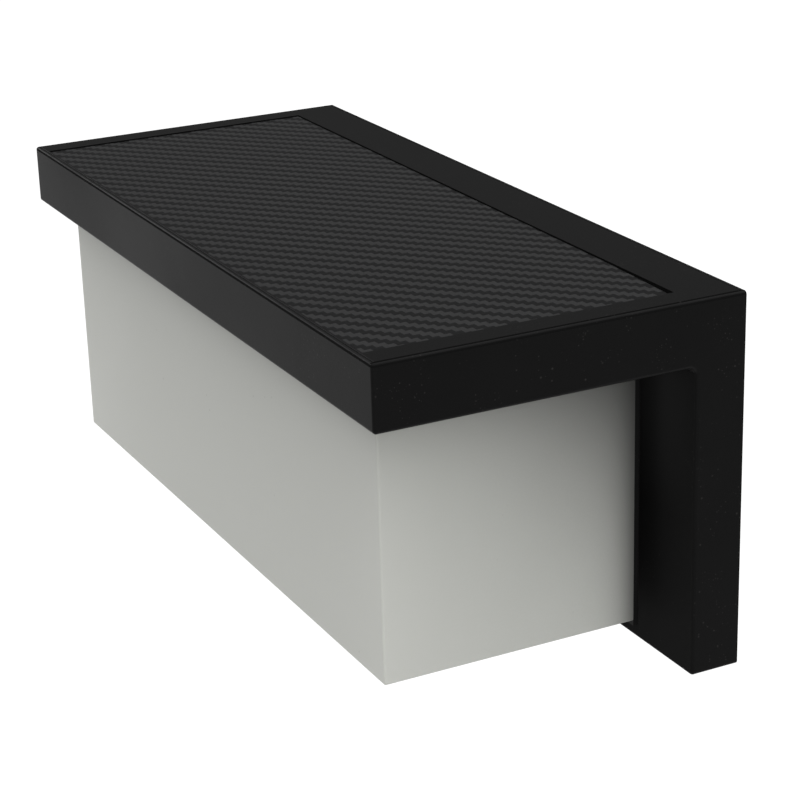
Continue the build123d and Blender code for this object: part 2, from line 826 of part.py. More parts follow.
# Flat rubber seal between the rear cover's border and the ledge in front of it
with BuildPart() as rear_cover_seal:
    with BuildSketch(from_wall(cover_inside)):
        wall_area(cover_half - fit_gap, cover_low + fit_gap, ceiling - fit_gap, cover_corner_radius)
        wall_area(cavity_half + fit_gap, cavity_low - fit_gap, cavity_high + fit_gap, mode=Mode.SUBTRACT)
    extrude(amount=seal_thickness)
rear_cover_seal.part.label = "rear_cover_seal"
export_step(rear_cover_seal.part, "parts/rear_cover_seal.step")

cover_screw = screw(cover_thickness - head_height + screw_bite)
with BuildPart(from_wall(rear + head_height + thread_gap)) as rear_cover_screws:
    with Locations(*cover_points):
        add(cover_screw)
rear_cover_screws.part.label = "rear_cover_screws"
export_step(rear_cover_screws.part, "parts/rear_cover_screws.step")

# Wall bracket: pressed steel, a web on the wall between two flanges that stand off it
with BuildPart() as wall_bracket:
    with BuildSketch(level(-bracket_height / 2)):
        with BuildLine():
            Polyline(
                (0, 0),
                (web_half, 0),
                (web_half + joggle_run, -joggle),
                (bracket_half, -joggle),
                (bracket_half, -joggle - bracket_thickness),
                (web_half + joggle_run - bracket_thickness / 2, -joggle - bracket_thickness),
                (web_half - bracket_thickness / 2, -bracket_thickness),
                (0, -bracket_thickness),
            )
            mirror(about=Plane.YZ)
        make_face()
    extrude(amount=bracket_height)
    corner_edges = wall_bracket.edges().filter_by(Axis.Y)
    fillet([*corner_edges.group_by(Axis.X)[0], *corner_edges.group_by(Axis.X)[-1]], bracket_corner_radius)
    with BuildSketch(from_wall(0)):
        with GridLocations(hole_spacing, hole_spacing, 2, 1):
            Circle(hole_radius)
    extrude(amount=bracket_thickness, mode=Mode.SUBTRACT)
wall_bracket.part.label = "wall_bracket"
export_step(wall_bracket.part, "parts/wall_bracket.step")
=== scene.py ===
"""Looks of the solar wall light, in the order in which the lamp is put together. Metres."""
import math

import bmesh
import bpy
from mathutils import Euler, Matrix, Vector


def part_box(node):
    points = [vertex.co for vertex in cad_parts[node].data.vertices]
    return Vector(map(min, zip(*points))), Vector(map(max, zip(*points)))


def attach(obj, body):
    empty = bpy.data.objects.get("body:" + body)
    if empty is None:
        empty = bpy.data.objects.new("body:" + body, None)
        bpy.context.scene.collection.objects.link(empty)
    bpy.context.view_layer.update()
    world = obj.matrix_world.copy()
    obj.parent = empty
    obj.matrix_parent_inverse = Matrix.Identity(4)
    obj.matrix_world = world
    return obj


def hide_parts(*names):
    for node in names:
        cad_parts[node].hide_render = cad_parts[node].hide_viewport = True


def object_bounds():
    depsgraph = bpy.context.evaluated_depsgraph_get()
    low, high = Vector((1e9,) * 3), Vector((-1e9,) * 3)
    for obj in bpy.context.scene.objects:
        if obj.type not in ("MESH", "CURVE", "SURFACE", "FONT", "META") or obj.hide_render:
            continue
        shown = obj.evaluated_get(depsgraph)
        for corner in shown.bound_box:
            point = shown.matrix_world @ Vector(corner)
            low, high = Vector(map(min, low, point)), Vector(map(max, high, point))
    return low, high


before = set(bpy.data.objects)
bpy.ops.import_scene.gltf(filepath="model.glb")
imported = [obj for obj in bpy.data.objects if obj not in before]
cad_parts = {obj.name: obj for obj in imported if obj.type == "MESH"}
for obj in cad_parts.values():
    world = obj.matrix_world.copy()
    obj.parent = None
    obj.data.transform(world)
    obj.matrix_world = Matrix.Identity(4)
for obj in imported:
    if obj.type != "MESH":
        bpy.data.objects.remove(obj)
cad_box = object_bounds()

# Housing
# One injection moulding in black ABS: the slab that holds the panel and the plate that stands at the wall.
# Its mould was finely eroded, which gives a satin grain, and parts in a line below the slab's upper edge.
# Handling has polished its edges, and dust lies on it. Its rounded edges are also painted paler, a painted
# highlight, and deep in the gap behind the diffuser it is painted paler, painted light in place of the
# shade there.
mm = 0.001


def feed(tree, socket, value):
    """Gives an input another node's output, a number, a vector or a colour."""
    if isinstance(value, bpy.types.NodeSocket):
        tree.links.new(value, socket)
    elif socket.type == "RGBA":
        socket.default_value = (*value, 1.0)
    else:
        socket.default_value = value


def add(tree, kind, inputs, **settings):
    """Adds a shader node with its settings and inputs, and gives its outputs."""
    made = tree.nodes.new("ShaderNode" + kind)
    for name, value in settings.items():
        setattr(made, name, value)
    for name, value in inputs.items():
        feed(tree, made.inputs[name], value)
    return made.outputs


def calc(tree, operation, *values):
    """A sum, product or comparison of values."""
    made = tree.nodes.new("ShaderNodeMath")
    made.operation = operation
    for socket, value in zip(made.inputs, values):
        feed(tree, socket, value)
    return made.outputs[0]


def apart(tree, value, mark):
    """How far a value is from a mark, on either side of it."""
    return calc(tree, "ABSOLUTE", calc(tree, "SUBTRACT", value, mark))


def between(tree, value, low, high, start=0.0, end=1.0):
    """Goes from start to end as the value goes from low to high, and stays there."""
    ends = {"From Min": low, "From Max": high, "To Min": start, "To Max": end}
    return add(tree, "MapRange", {"Value": value, **ends})["Result"]


def blend(tree, share, under, over):
    """A colour that goes from one to another by the share."""
    made = tree.nodes.new("ShaderNodeMix")
    made.data_type = "RGBA"
    for index, value in ((0, share), (6, under), (7, over)):
        feed(tree, made.inputs[index], value)
    return made.outputs[2]


def place(tree, stretch=(1, 1, 1)):
    """Where a point is on the lamp, stretched along the axes."""
    spot = add(tree, "TexCoord", {})["Object"]
    return add(tree, "Mapping", {"Vector": spot, "Scale": stretch})["Vector"]


def axes(tree):
    """Where a point is on the lamp, as separate X, Y and Z."""
    return add(tree, "SeparateXYZ", {"Vector": place(tree)})


def noise(tree, scale, detail=2.0, stretch=(1, 1, 1)):
    """Soft blotches without order, smaller as the scale grows."""
    return add(tree, "TexNoise", {"Vector": place(tree, stretch), "Scale": scale, "Detail": detail})["Fac"]


def new_effect(name, inputs, outputs):
    """An empty node group with named values in and out."""
    tree = bpy.data.node_groups.new(name, "ShaderNodeTree")
    for socket, value in inputs.items():
        made = tree.interface.new_socket(socket, in_out="INPUT", socket_type="NodeSocketFloat")
        made.default_value = value
    for socket in outputs:
        tree.interface.new_socket(socket, in_out="OUTPUT", socket_type="NodeSocketFloat")
    return tree, tree.nodes.new("NodeGroupInput").outputs, tree.nodes.new("NodeGroupOutput").inputs


def use_effect(tree, effect, **inputs):
    """Places an effect in a material with its own values, and gives its outputs."""
    made = tree.nodes.new("ShaderNodeGroup")
    made.node_tree = effect
    for name, value in inputs.items():
        feed(tree, made.inputs[name], value)
    return made.outputs


def new_finish(name, **constants):
    """A material whose shader has these plain values. Gives its nodes and the shader's inputs."""
    material = bpy.data.materials.new(name)
    material.use_nodes = True
    shader = material.node_tree.nodes["Principled BSDF"]
    for socket, value in constants.items():
        feed(material.node_tree, shader.inputs[socket.replace("_", " ")], value)
    return material, material.node_tree, shader.inputs


def bump(tree, inputs, height, depth):
    """Lets a height roughen the surface by this depth."""
    relief = add(tree, "Bump", {"Height": height, "Distance": depth})
    tree.links.new(relief["Normal"], inputs["Normal"])


def dress(material, *names):
    """Gives pieces of the lamp their finish."""
    for name in names:
        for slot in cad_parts[name].material_slots:
            slot.material = material


# Grain: the pebbled skin of a moulding, with slow changes of tone over it
pebble_share = 0.35
grain, given, result = new_effect("grain", {"Scale": 2600.0, "Clouds": 18.0}, ("Height", "Tone"))
pebbles = noise(grain, given["Scale"], detail=3.0)
clouds = noise(grain, given["Clouds"], detail=4.0)
clouds = calc(grain, "MULTIPLY", clouds, 1 - pebble_share)
feed(grain, result["Height"], pebbles)
feed(grain, result["Tone"], calc(grain, "MULTIPLY_ADD", pebbles, pebble_share, clouds))

# Dust: pale specks, each in its own cell of space, that gather in patches
patch_rim, patch_heart = 0.52, 0.72
usual_dust = {"Scale": 700.0, "Share": 0.7, "Size": 0.3, "Patches": 60.0}
dust, given, result = new_effect("dust", usual_dust, ("Mask",))
cell = add(dust, "TexVoronoi", {"Vector": place(dust), "Scale": given["Scale"]})
draw = add(dust, "SeparateColor", {"Color": cell["Color"]})
patch = between(dust, noise(dust, given["Patches"]), patch_rim, patch_heart)
settled = calc(dust, "LESS_THAN", draw["Red"], calc(dust, "MULTIPLY", given["Share"], patch))
speck = between(dust, cell["Distance"], calc(dust, "MULTIPLY", given["Size"], draw["Green"]), 0.0)
feed(dust, result["Mask"], calc(dust, "MULTIPLY", speck, settled))

# Rub: rounded edges, where the surface faces along no axis but partly up or down; they take polish, and on
# the housing a painted highlight
tone_span = 0.3, 0.7
flat_face, round_edge = 0.998, 0.97
upright, tilted = 0.1, 0.4
rub_least, rub_most = 0.5, 1.0
rub, given, result = new_effect("rub", {"Patches": 160.0}, ("Mask",))
facing = add(rub, "NewGeometry", {})["Normal"]
facing = add(rub, "VectorMath", {0: facing}, operation="ABSOLUTE")["Vector"]
facing = add(rub, "SeparateXYZ", {"Vector": facing})
squarest = calc(rub, "MAXIMUM", facing["X"], calc(rub, "MAXIMUM", facing["Y"], facing["Z"]))
rounded = between(rub, squarest, flat_face, round_edge)
exposed = between(rub, facing["Z"], upright, tilted)
patchy = between(rub, noise(rub, given["Patches"], detail=3.0), *tone_span, rub_least, rub_most)
feed(rub, result["Mask"], calc(rub, "MULTIPLY", calc(rub, "MULTIPLY", rounded, exposed), patchy))

mottle_span = 0.35, 0.65
black_low, black_high = (0.0031, 0.0031, 0.0031), (0.0049, 0.0049, 0.0049)
black_worn_and_highlit, black_line = (0.0085, 0.0085, 0.0085), (0.0045, 0.0045, 0.0045)
black_matt, black_painted_light = (0.0095, 0.0095, 0.0095), (0.03, 0.03, 0.03)
black_dust = (0.029, 0.028, 0.027)
satin_roughness = 0.38, 0.5
worn_gloss, line_roughness, inner_roughness = 0.12, 0.5, 0.5
satin_relief = 0.016 * mm
plate_depth, inner_margin = 13.2 * mm, 0.05 * mm
painted_light_drop, painted_light_depth = 40.0 * mm, 15.0 * mm
parting_drop, parting_core, parting_reach = 0.58 * mm, 0.2 * mm, 0.3 * mm
seam_depth, seam_core, seam_reach = 0.2 * mm, 0.25 * mm, 0.45 * mm
housing_end, housing_rear, housing_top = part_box("housing")[1]
inner_face = housing_rear - plate_depth
inner_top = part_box("soffit_plate")[0].z
seam_inset = housing_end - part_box("top_frame")[1].x
black_moulding, nodes, shader = new_finish("black_moulding", Specular_IOR_Level=0.045)
skin = use_effect(nodes, grain)
spot = axes(nodes)
inward = calc(nodes, "SUBTRACT", housing_end, calc(nodes, "ABSOLUTE", spot["X"]))
colour = blend(nodes, between(nodes, skin["Tone"], *mottle_span), black_low, black_high)

# The plate's inner face is matt, and deep in the gap behind the diffuser it is painted paler: painted light
# in place of the shade there
inner_side = calc(nodes, "LESS_THAN", apart(nodes, spot["Y"], inner_face), inner_margin)
inner_side = calc(nodes, "MULTIPLY", inner_side, calc(nodes, "LESS_THAN", spot["Z"], inner_top))
painted_gap_light = between(nodes, spot["Z"], inner_top - painted_light_drop, inner_top)
painted_gap_light = calc(nodes, "MULTIPLY", painted_gap_light, between(nodes, inward, 0.0, painted_light_depth))
colour = blend(nodes, inner_side, colour, blend(nodes, painted_gap_light, black_matt, black_painted_light))

# The parting line and the borders of the top frame's groove at the slab's ends are matt, and get neither
# the polish nor the painted highlight
parting = apart(nodes, spot["Z"], housing_top - parting_drop)
parting = between(nodes, parting, parting_reach, parting_core)
seam = between(nodes, apart(nodes, inward, seam_inset), seam_reach, seam_core)
seam = calc(nodes, "MULTIPLY", seam, calc(nodes, "GREATER_THAN", spot["Z"], housing_top - seam_depth))
line = calc(nodes, "MAXIMUM", parting, seam)
# Rounded edges that face partly up or down are painted paler: wear from handling, and a painted highlight
worn_and_highlit = calc(nodes, "MULTIPLY", use_effect(nodes, rub)["Mask"], calc(nodes, "SUBTRACT", 1.0, line))
colour = blend(nodes, worn_and_highlit, colour, black_worn_and_highlit)
colour = blend(nodes, line, colour, black_line)

coarse = use_effect(nodes, dust, Size=0.26)["Mask"]
fine = use_effect(nodes, dust, Scale=1700.0, Share=0.8, Size=0.4, Patches=110.0)["Mask"]
colour = blend(nodes, calc(nodes, "MAXIMUM", coarse, fine), colour, black_dust)
feed(nodes, shader["Base Color"], colour)
satin = between(nodes, skin["Tone"], *tone_span, *satin_roughness)
satin = calc(nodes, "MULTIPLY_ADD", worn_and_highlit, -worn_gloss, satin)
satin = calc(nodes, "MULTIPLY_ADD", line, line_roughness, satin)
satin = calc(nodes, "MULTIPLY_ADD", inner_side, inner_roughness, satin)
feed(nodes, shader["Roughness"], satin)
bump(nodes, shader, skin["Height"], satin_relief)
dress(black_moulding, "housing")

# Top frame
# A second black moulding, bonded into the housing's upper edge, with the window for the panel.
# Its lip stands a hair proud of a seam that runs all round the slab.
dress(black_moulding, "top_frame")

# Panel tape
# Closed-cell foam, cut as a ring and sticky on both sides.
# It beds the solar panel in the recess of the slab.
foam_wall, foam_cell = (0.05, 0.05, 0.05), (0.016, 0.016, 0.016)
foam_fineness = 2800.0
bubble_heart, bubble_wall = 0.15, 0.55
bubble_span, foam_roughness = (0.0, 0.6), (0.95, 0.8)
foam_relief = 0.15 * mm
foam, nodes, shader = new_finish("foam", Specular_IOR_Level=0.2)
bubble = add(nodes, "TexVoronoi", {"Vector": place(nodes), "Scale": foam_fineness})["Distance"]
wall = between(nodes, bubble, bubble_heart, bubble_wall)
feed(nodes, shader["Base Color"], blend(nodes, wall, foam_cell, foam_wall))
feed(nodes, shader["Roughness"], between(nodes, bubble, *bubble_span, *foam_roughness))
bump(nodes, shader, bubble, foam_relief)
dress(foam, "panel_tape")

# Solar panel
# A dark glass-fibre board with one row of monocrystalline cells on it, strung together in series.
# Each cell is nearly black, with fine silver fingers along it and three busbars across it.
board_low, board_high = (0.010, 0.011, 0.010), (0.018, 0.020, 0.018)
board_roughness = 0.35, 0.55
cloth_fineness = 2500.0
cloth_share = 0.4
laminate, nodes, shader = new_finish("laminate", Specular_IOR_Level=0.3)
crossing = add(nodes, "TexChecker", {"Vector": place(nodes), "Scale": cloth_fineness})["Fac"]
cloth = calc(nodes, "MULTIPLY", use_effect(nodes, grain)["Tone"], 1 - cloth_share)
cloth = calc(nodes, "MULTIPLY_ADD", crossing, cloth_share, cloth)
feed(nodes, shader["Base Color"], blend(nodes, cloth, board_low, board_high))
feed(nodes, shader["Roughness"], between(nodes, cloth, 0.0, 1.0, *board_roughness))
dress(laminate, "panel_board")

cell_dark, cell_blue, cell_silver = (0.004, 0.005, 0.010), (0.006, 0.008, 0.020), (0.30, 0.30, 0.30)
cell_roughness = 0.2, 0.4
finger_pitch, finger_width = 1.6 * mm, 0.08
busbar_pitch, busbar_width = 26.0 * mm, 0.05


def off_lane(tree, run, pitch):
    """How far a point is from the nearest of a row of lines at this pitch, as a share of the pitch."""
    return calc(tree, "PINGPONG", calc(tree, "DIVIDE", run, pitch), 0.5)


silicon, nodes, shader = new_finish("silicon", Specular_IOR_Level=0.5)
spot = axes(nodes)
finger = calc(nodes, "LESS_THAN", off_lane(nodes, spot["X"], finger_pitch), finger_width)
busbar = calc(nodes, "LESS_THAN", off_lane(nodes, spot["Y"], busbar_pitch), busbar_width)
silver = calc(nodes, "MAXIMUM", finger, busbar)
colour = blend(nodes, use_effect(nodes, grain)["Tone"], cell_dark, cell_blue)
feed(nodes, shader["Base Color"], blend(nodes, silver, colour, cell_silver))
feed(nodes, shader["Metallic"], silver)
feed(nodes, shader["Roughness"], between(nodes, silver, 0.0, 1.0, *cell_roughness))
dress(silicon, "solar_cells")

# Carbon-look film
# An embossed vinyl film over the cells, printed and pressed as a two-over-two twill of flat tows.
# It is laid by hand, so its weave is a little turned and skewed, and its back right corner is cut short.
weave_turn = math.radians(1.27)
weave_skew = math.radians(4.64)
weave_offset = Vector((2.47, 0.42, 0)) * mm
warp_pitch = 1.765 * mm
weft_pitch = 1.497 * mm
weave_steps = 3
float_length = 2
weave_repeat = 4
tow_height = 0.05 * mm
tow_flatness = 4
border_nudge = 1e-6
film_trim_length = 32.0 * mm
film_trim_width = 0.9 * mm
film_low, film_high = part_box("carbon_film")
film_middle = (film_low + film_high) / 2
film_reach = (film_high - film_low).length / 2
columns = 2 * math.ceil(film_reach / warp_pitch)
rows = 2 * math.ceil((film_high.y - film_low.y) / weft_pitch)


def weft_on_top(column, row):
    """Whether the tow along the lamp lies over the one across it in this crossing."""
    return (column - row) % weave_repeat < float_length


def pillow(share):
    """How far a tow rises at this share of its width or of its float."""
    return 1 - (2 * share - 1) ** tow_flatness


film = bmesh.new()
bmesh.ops.create_grid(film, x_segments=columns * weave_steps, y_segments=rows * weave_steps, size=0.5)
bmesh.ops.scale(film, vec=(columns, rows, 1), verts=film.verts)
weft_mark = film.faces.layers.float.new("weft")
for face in film.faces:
    centre = face.calc_center_median()
    face[weft_mark] = weft_on_top(math.floor(centre.x), math.floor(centre.y))
for vert in film.verts:
    column = math.floor(vert.co.x + border_nudge)
    row = math.floor(vert.co.y + border_nudge)
    if weft_on_top(column, row):
        across, run = vert.co.y - row, (vert.co.x - row) % weave_repeat
    else:
        across, run = vert.co.x - column, (column - vert.co.y - 1) % weave_repeat
    vert.co.z = pillow(across) * pillow(run / float_length % 1.0)
bmesh.ops.scale(film, vec=(warp_pitch, weft_pitch, tow_height), verts=film.verts)
skewed = Matrix(((1, -math.tan(weave_skew), 0), (0, 1, 0), (0, 0, 1)))
laid = Matrix.Rotation(weave_turn, 3, "Z") @ skewed
bmesh.ops.transform(film, matrix=laid.to_4x4(), verts=film.verts)
film_base = Vector((film_middle.x, film_middle.y, film_high.z - tow_height))
bmesh.ops.translate(film, vec=film_base + weave_offset, verts=film.verts)
trim_corner = Vector((film_high.x, film_high.y - film_trim_width, 0))
trim_side = Vector((film_trim_width, film_trim_length, 0))
for point, outside in (
    (film_low, Vector((-1, 0, 0))),
    (film_low, Vector((0, -1, 0))),
    (film_high, Vector((1, 0, 0))),
    (film_high, Vector((0, 1, 0))),
    (trim_corner, trim_side),
):
    parts = [*film.verts, *film.edges, *film.faces]
    bmesh.ops.bisect_plane(film, geom=parts, plane_co=point, plane_no=outside, clear_outer=True)
rim = [edge for edge in film.edges if edge.is_boundary]
skirt = bmesh.ops.extrude_edge_only(film, edges=rim)["geom"]
for vert in skirt:
    if isinstance(vert, bmesh.types.BMVert):
        vert.co.z = film_low.z
bmesh.ops.holes_fill(film, edges=[edge for edge in film.edges if edge.is_boundary], sides=0)
bmesh.ops.recalc_face_normals(film, faces=film.faces)
film_mesh = bpy.data.meshes.new("carbon_film_weave")
film.to_mesh(film_mesh)
film.free()
film_mesh.shade_smooth()
film_piece = bpy.data.objects.new("carbon_film_weave", film_mesh)
bpy.context.scene.collection.objects.link(film_piece)

weft_low, weft_high = (0.0202, 0.0202, 0.0205), (0.0273, 0.0273, 0.0278)
warp_low, warp_high = (0.0049, 0.0049, 0.0051), (0.0070, 0.0070, 0.0073)
warp_roughness, weft_roughness = 0.5, 0.42
fibre_fineness, fibre_stretch = 9000.0, 0.06
fibre_relief = 0.004 * mm
carbon, nodes, shader = new_finish("carbon_look", Specular_IOR_Level=0.055)
weft = add(nodes, "Attribute", {}, attribute_name="weft")["Fac"]
lengthwise = noise(nodes, fibre_fineness, stretch=(fibre_stretch, 1, 1))
crosswise = noise(nodes, fibre_fineness, stretch=(1, fibre_stretch, 1))
light_tow = blend(nodes, between(nodes, lengthwise, *tone_span), weft_low, weft_high)
dark_tow = blend(nodes, between(nodes, crosswise, *tone_span), warp_low, warp_high)
colour = blend(nodes, weft, dark_tow, light_tow)
colour = blend(nodes, use_effect(nodes, dust, Share=0.12)["Mask"], colour, black_dust)
feed(nodes, shader["Base Color"], colour)
feed(nodes, shader["Roughness"], between(nodes, weft, 0.0, 1.0, warp_roughness, weft_roughness))
bump(nodes, shader, lengthwise, fibre_relief)
film_mesh.materials.append(carbon)
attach(film_piece, "lamp")
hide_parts("carbon_film")

# Control board
# A small glass-fibre board with green solder mask that charges the battery and switches the light.
# It stands on four posts in the back plate, with its copper tracks showing faintly through the mask.
wander_fineness, wander_reach = 140.0, 0.35
tracks, given, result = new_effect("tracks", {"Pitch": 2.0 * mm, "Width": 0.2}, ("Mask",))
lane = off_lane(tracks, axes(tracks)["X"], given["Pitch"])
wander = {"Vector": place(tracks), "Scale": wander_fineness}
wander = add(tracks, "TexVoronoi", wander, distance="MANHATTAN")["Distance"]
lane = calc(tracks, "ADD", lane, calc(tracks, "MULTIPLY", wander, wander_reach))
feed(tracks, result["Mask"], calc(tracks, "LESS_THAN", lane, given["Width"]))

mask_green, track_green = (0.012, 0.075, 0.032), (0.022, 0.13, 0.052)
mask_roughness = 0.22, 0.36
track_relief = 0.03 * mm
solder_mask, nodes, shader = new_finish("solder_mask", Specular_IOR_Level=0.5)
copper = use_effect(nodes, tracks)["Mask"]
tone = use_effect(nodes, grain)["Tone"]
feed(nodes, shader["Base Color"], blend(nodes, copper, mask_green, track_green))
feed(nodes, shader["Roughness"], between(nodes, tone, *tone_span, *mask_roughness))
bump(nodes, shader, copper, track_relief)
dress(solder_mask, "control_board")

# Parts, plugs and screws of the control board
# A charging chip, a coil and a capacitor in black resin, and the nylon plugs of the leads.
# Four self-tapping screws of zinc-plated steel hold the board, and screws of that kind hold the covers.
resin_low, resin_high = (0.012, 0.012, 0.013), (0.024, 0.024, 0.025)
resin_roughness = 0.45, 0.65
resin_relief = 0.01 * mm
resin, nodes, shader = new_finish("resin", Specular_IOR_Level=0.35)
skin = use_effect(nodes, grain, Scale=5200.0, Clouds=300.0)
feed(nodes, shader["Base Color"], blend(nodes, skin["Tone"], resin_low, resin_high))
feed(nodes, shader["Roughness"], between(nodes, skin["Tone"], *tone_span, *resin_roughness))
bump(nodes, shader, skin["Height"], resin_relief)
dress(resin, "board_parts")

nylon_low, nylon_high = (0.60, 0.57, 0.50), (0.72, 0.69, 0.62)
nylon_roughness = 0.38, 0.55
nylon_depth = 1.0 * mm
nylon, nodes, shader = new_finish("nylon", Specular_IOR_Level=0.4, Subsurface_Weight=0.2)
feed(nodes, shader["Subsurface Scale"], nylon_depth)
skin = use_effect(nodes, grain, Scale=1800.0, Clouds=260.0)
feed(nodes, shader["Base Color"], blend(nodes, skin["Tone"], nylon_low, nylon_high))
feed(nodes, shader["Roughness"], between(nodes, skin["Tone"], *tone_span, *nylon_roughness))
dress(nylon, "board_plugs")

zinc_low, zinc_high, zinc_bright = (0.30, 0.31, 0.32), (0.47, 0.48, 0.48), (0.66, 0.66, 0.65)
zinc_roughness = 0.3, 0.46
drawn_fineness, drawn_stretch = 900.0, 0.05
drawn_relief = 0.006 * mm
zinc, nodes, shader = new_finish("zinc_plate", Metallic=1.0)
drawn = noise(nodes, drawn_fineness, detail=4.0, stretch=(drawn_stretch, 1, 1))
colour = blend(nodes, between(nodes, drawn, *tone_span), zinc_low, zinc_high)
feed(nodes, shader["Base Color"], blend(nodes, use_effect(nodes, rub)["Mask"], colour, zinc_bright))
feed(nodes, shader["Roughness"], between(nodes, drawn, *tone_span, *zinc_roughness))
bump(nodes, shader, drawn, drawn_relief)
dress(zinc, "board_screws")

# Battery
# A flat lithium pouch in laminated aluminium foil, creased as it was pressed shut.
# A pad of foam tape sticks it to the plate.
foil_low, foil_high = (0.42, 0.42, 0.44), (0.62, 0.62, 0.63)
foil_roughness = 0.28, 0.42
foil_relief = 0.5 * mm
crumple = {"Scale": 130.0, "Detail": 5.0, "Distortion": 1.5}
foil, nodes, shader = new_finish("pouch_foil", Metallic=0.9)
crease = add(nodes, "TexNoise", {"Vector": place(nodes), **crumple})["Fac"]
feed(nodes, shader["Base Color"], blend(nodes, crease, foil_low, foil_high))
feed(nodes, shader["Roughness"], between(nodes, crease, *tone_span, *foil_roughness))
bump(nodes, shader, crease, foil_relief)
dress(foil, "battery_pouch")
dress(foam, "battery_tape")

# Switch and its button
# A sealed push switch in black resin above the plate's lower edge.
# Its button is a soft rubber cap that sits in a finger dish and is pressed upwards.
dress(resin, "switch_body")

rubber_low, rubber_high = (0.010, 0.010, 0.010), (0.019, 0.019, 0.019)
rubber_roughness = 0.62, 0.8
rubber_relief = 0.02 * mm
rubber, nodes, shader = new_finish("soft_rubber", Specular_IOR_Level=0.15, Sheen_Weight=0.04)
skin = use_effect(nodes, grain, Scale=4200.0, Clouds=180.0)
colour = blend(nodes, skin["Tone"], rubber_low, rubber_high)
colour = blend(nodes, use_effect(nodes, dust, Scale=1100.0)["Mask"], colour, black_dust)
feed(nodes, shader["Base Color"], colour)
feed(nodes, shader["Roughness"], between(nodes, skin["Tone"], *tone_span, *rubber_roughness))
bump(nodes, shader, skin["Height"], rubber_relief)
dress(rubber, "switch_button")

# Leads
# Pairs of stranded wire in silicone sleeves, one red and one black, a little chalky.
# They run from the panel, the lights, the battery and the switch to the control board.
sleeve_red, sleeve_black = (0.30, 0.012, 0.010), (0.014, 0.014, 0.014)
sleeve_roughness = 0.4, 0.55
sleeve_chalk = 0.25


def sleeves(name, axis):
    """The finish of a pair of leads that lie side by side along this axis."""
    low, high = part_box(name)
    middle = (low + high)["XYZ".index(axis)] / 2
    material, nodes, shader = new_finish(name + "_sleeves", Specular_IOR_Level=0.35)
    tone = use_effect(nodes, grain, Scale=3000.0, Clouds=240.0)["Tone"]
    side = calc(nodes, "GREATER_THAN", axes(nodes)[axis], middle)
    colour = blend(nodes, side, sleeve_black, sleeve_red)
    colour = blend(nodes, calc(nodes, "MULTIPLY", tone, sleeve_chalk), colour, black_dust)
    feed(nodes, shader["Base Color"], colour)
    feed(nodes, shader["Roughness"], between(nodes, tone, *tone_span, *sleeve_roughness))
    dress(material, name)


for name, axis in (("panel_leads", "X"), ("led_leads", "X"), ("battery_leads", "Z"), ("switch_leads", "X")):
    sleeves(name, axis)

# Soffit
# A flat black cover that closes the slab from below, with a rubber seal on the inside of its border.
# Six screws hold it, all of them inside the diffuser, so none shows.
dress(rubber, "soffit_seal")
dress(black_moulding, "soffit_plate")
dress(zinc, "soffit_screws")

# Light source
# A white reflector sheet, and on it an aluminium board with white solder mask and two rows of LEDs.
# Each LED is a white package with a round window of yellow phosphor, facing down.
sheet_low, sheet_high = (0.72, 0.72, 0.71), (0.84, 0.84, 0.83)
sheet_roughness = 0.25, 0.4
white_sheet, nodes, shader = new_finish("white_sheet", Specular_IOR_Level=0.5)
tone = use_effect(nodes, grain, Scale=900.0, Clouds=60.0)["Tone"]
feed(nodes, shader["Base Color"], blend(nodes, tone, sheet_low, sheet_high))
feed(nodes, shader["Roughness"], between(nodes, tone, *tone_span, *sheet_roughness))
dress(white_sheet, "reflector")

mask_white, track_white = (0.74, 0.74, 0.72), (0.64, 0.64, 0.61)
white_roughness = 0.3, 0.45
white_mask, nodes, shader = new_finish("white_solder_mask", Specular_IOR_Level=0.5)
copper = use_effect(nodes, tracks, Pitch=8.0 * mm, Width=0.3)["Mask"]
tone = use_effect(nodes, grain)["Tone"]
feed(nodes, shader["Base Color"], blend(nodes, copper, mask_white, track_white))
feed(nodes, shader["Roughness"], between(nodes, tone, *tone_span, *white_roughness))
bump(nodes, shader, copper, track_relief)
dress(white_mask, "led_board")

package_white, phosphor_low, phosphor_high = (0.76, 0.75, 0.72), (0.70, 0.50, 0.08), (0.82, 0.66, 0.16)
package_roughness, phosphor_roughness = 0.45, 0.25
phosphor_height, phosphor_margin = 0.15 * mm, 0.01 * mm
phosphor, nodes, shader = new_finish("phosphor", Specular_IOR_Level=0.5)
package_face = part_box("leds")[0].z + phosphor_height - phosphor_margin
window = calc(nodes, "LESS_THAN", axes(nodes)["Z"], package_face)
gel = blend(nodes, use_effect(nodes, grain, Clouds=900.0)["Tone"], phosphor_low, phosphor_high)
feed(nodes, shader["Base Color"], blend(nodes, window, package_white, gel))
feed(nodes, shader["Roughness"], between(nodes, window, 0.0, 1.0, package_roughness, phosphor_roughness))
dress(phosphor, "leds")
dress(zinc, "led_board_screws")

# Diffuser
# A thin box of opal polycarbonate, open above and behind, clipped through the soffit by barbed tabs.
# Its satin skin scatters the light. Its colour is painted lighter at its front corners, a painted glow of
# light that enters from two sides, and painted darker near the black back and the soffit, a painted shade
# that fades away from them.
opal_low, opal_high = (0.446, 0.452, 0.424), (0.468, 0.474, 0.446)
opal_painted_glow, opal_painted_shade, opal_speck = (0.512, 0.518, 0.487), (0.02, 0.02, 0.019), (0.30, 0.30, 0.28)
opal_roughness = 0.42, 0.56
opal_relief = 0.008 * mm
opal_depth, opal_spread = 1.5 * mm, (1.0, 1.0, 0.9)
glow_reach, glow_depth, glow_drop = 25.0 * mm, 20.0 * mm, 9.0 * mm
edge_shade, edge_reach = 1.5, 2.8 * mm
roof_shade, roof_drop, roof_reach = 2.6, 28.0 * mm, 30.0 * mm
diffuser_low, diffuser_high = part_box("diffuser")


def fading(tree, distance, reach):
    """Falls from 1 towards 0 with the distance."""
    return calc(tree, "EXPONENT", calc(tree, "DIVIDE", distance, -reach))


